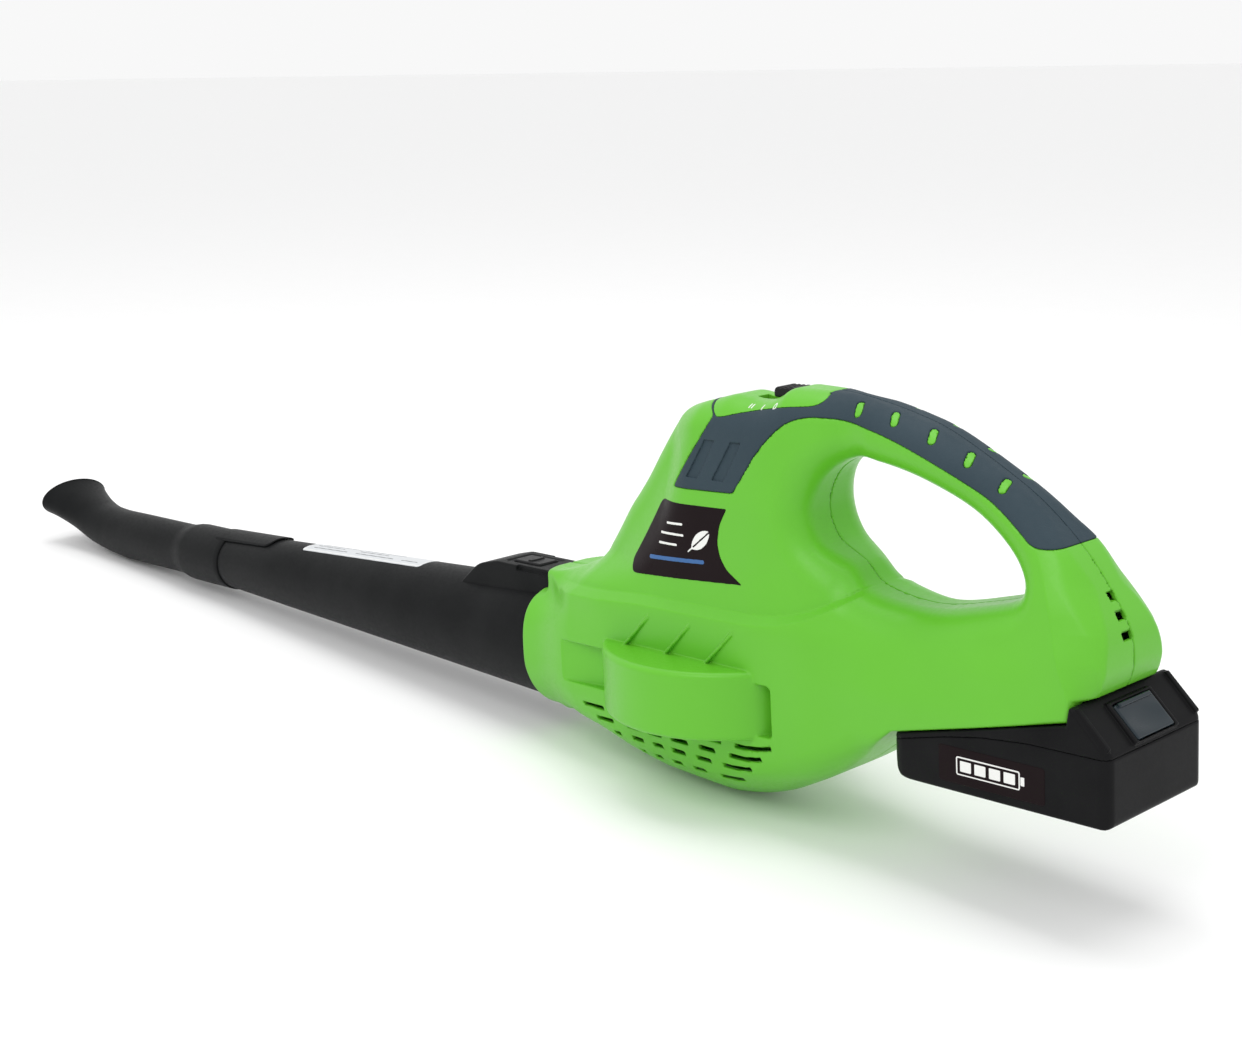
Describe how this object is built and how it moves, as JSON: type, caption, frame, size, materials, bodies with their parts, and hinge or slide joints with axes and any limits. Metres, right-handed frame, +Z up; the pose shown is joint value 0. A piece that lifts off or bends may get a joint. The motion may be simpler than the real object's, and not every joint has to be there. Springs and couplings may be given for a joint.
{
  "type": "leaf blower",
  "caption": "Cordless hand-held leaf blower: two-part housing with loop handle and fan drum, tapered tube with flat nozzle, and a slide-on battery pack.",
  "frame": {"origin": "middle of the bounding box on the floor it lies on, under the tube", "axes": "+X from the nozzle to the battery, +Y to the operator's right, +Z up; the tool lies on its belly pad and the underside of its nozzle, so the tube slopes down 3.51 degrees towards the nozzle"},
  "size_m": [1.0084, 0.14, 0.2266],
  "materials": {
    "green_shell": "satin bright lime green moulding",
    "grip_rubber": "matte slate blue-grey soft overmould",
    "tube_black": "matte black moulding",
    "pack_black": "satin black moulding",
    "black_moulding": "fine matte black moulding",
    "latch_blue": "glossy slate blue moulding",
    "white_print": "white print",
    "dark_label": "semi-gloss printed dark film",
    "silver_label": "silver film with a pale border",
    "fan_plastic": "natural glass-filled moulding",
    "steel": "zinc plated",
    "motor_steel": "drawn and plated can",
    "brass": "stamped contact strip",
    "copper_winding": "varnished copper winding",
    "circuit_board": "green solder mask",
    "red_wire": "red insulation",
    "black_wire": "black insulation",
    "cell_wrap": "blue heat-shrink sleeve"
  },
  "bodies": {
    "housing": {"left_housing": "green_shell", "right_housing": "green_shell", "left_grip": "grip_rubber", "right_grip": "grip_rubber", "switch_cradle": "green_shell", "position_marks": "white_print", "housing_screws": "steel", "left_side_label": "dark_label", "right_side_label": "dark_label", "fan_case_lower": "green_shell", "fan_case_upper": "green_shell", "motor_can": "motor_steel", "motor_end_cap": "black_moulding", "motor_bearings": "steel", "motor_screws": "steel", "motor_tabs": "brass", "slide_switch": "black_moulding", "control_board": "circuit_board", "board_parts": "black_moulding", "terminal_block": "black_moulding", "terminal_blades": "brass", "motor_leads": "red_wire", "battery_leads": "black_wire"},
    "fan": {"impeller": "fan_plastic", "impeller_nut": "steel", "motor_shaft": "steel", "motor_rotor": "copper_winding"},
    "slider": {"speed_slider": "black_moulding"},
    "tube": {"blower_tube": "tube_black", "tube_label": "silver_label", "button_spring": "steel"},
    "tube_button": {"tube_release_button": "black_moulding"},
    "nozzle": {"front_nozzle": "tube_black"},
    "battery": {"battery_lower_case": "pack_black", "battery_upper_case": "pack_black", "battery_cells": "cell_wrap", "cell_holder": "black_moulding", "cell_straps": "steel", "battery_board": "circuit_board", "battery_contacts": "brass", "battery_screws": "steel", "battery_label": "dark_label", "latch_spring": "steel"},
    "latch": {"battery_latch": "latch_blue"}
  },
  "joints": [
    {"name": "fan_spin", "type": "hinge", "parent": "housing", "child": "fan", "pos_m": [0.24785, 0, 0.0583], "axis": [-0.0613, 0, 0.9981], "continuous": true},
    {"name": "speed_slide", "type": "slide", "parent": "housing", "child": "slider", "axis": [-0.9981, 0, -0.0613], "range_m": [0, 0.012]},
    {"name": "tube_slide", "type": "slide", "parent": "housing", "child": "tube", "axis": [-0.9981, 0, -0.0613], "range_m": [0, 0.1]},
    {"name": "button_press", "type": "slide", "parent": "tube", "child": "tube_button", "axis": [0.0613, 0, -0.9981], "range_m": [0, 0.0025], "stiffness_N_per_m": 600, "springref_m": -0.001, "deforming": ["button_spring"]},
    {"name": "nozzle_slide", "type": "slide", "parent": "tube", "child": "nozzle", "axis": [-0.9981, 0, -0.0613], "range_m": [0, 0.08]},
    {"name": "battery_slide", "type": "slide", "parent": "housing", "child": "battery", "axis": [0.9571, 0, 0.2899], "range_m": [0, 0.12]},
    {"name": "latch_press", "type": "slide", "parent": "battery", "child": "latch", "axis": [-0.6624, 0, -0.7491], "range_m": [0, 0.003], "stiffness_N_per_m": 900, "springref_m": -0.001, "deforming": ["latch_spring"]}
  ]
}
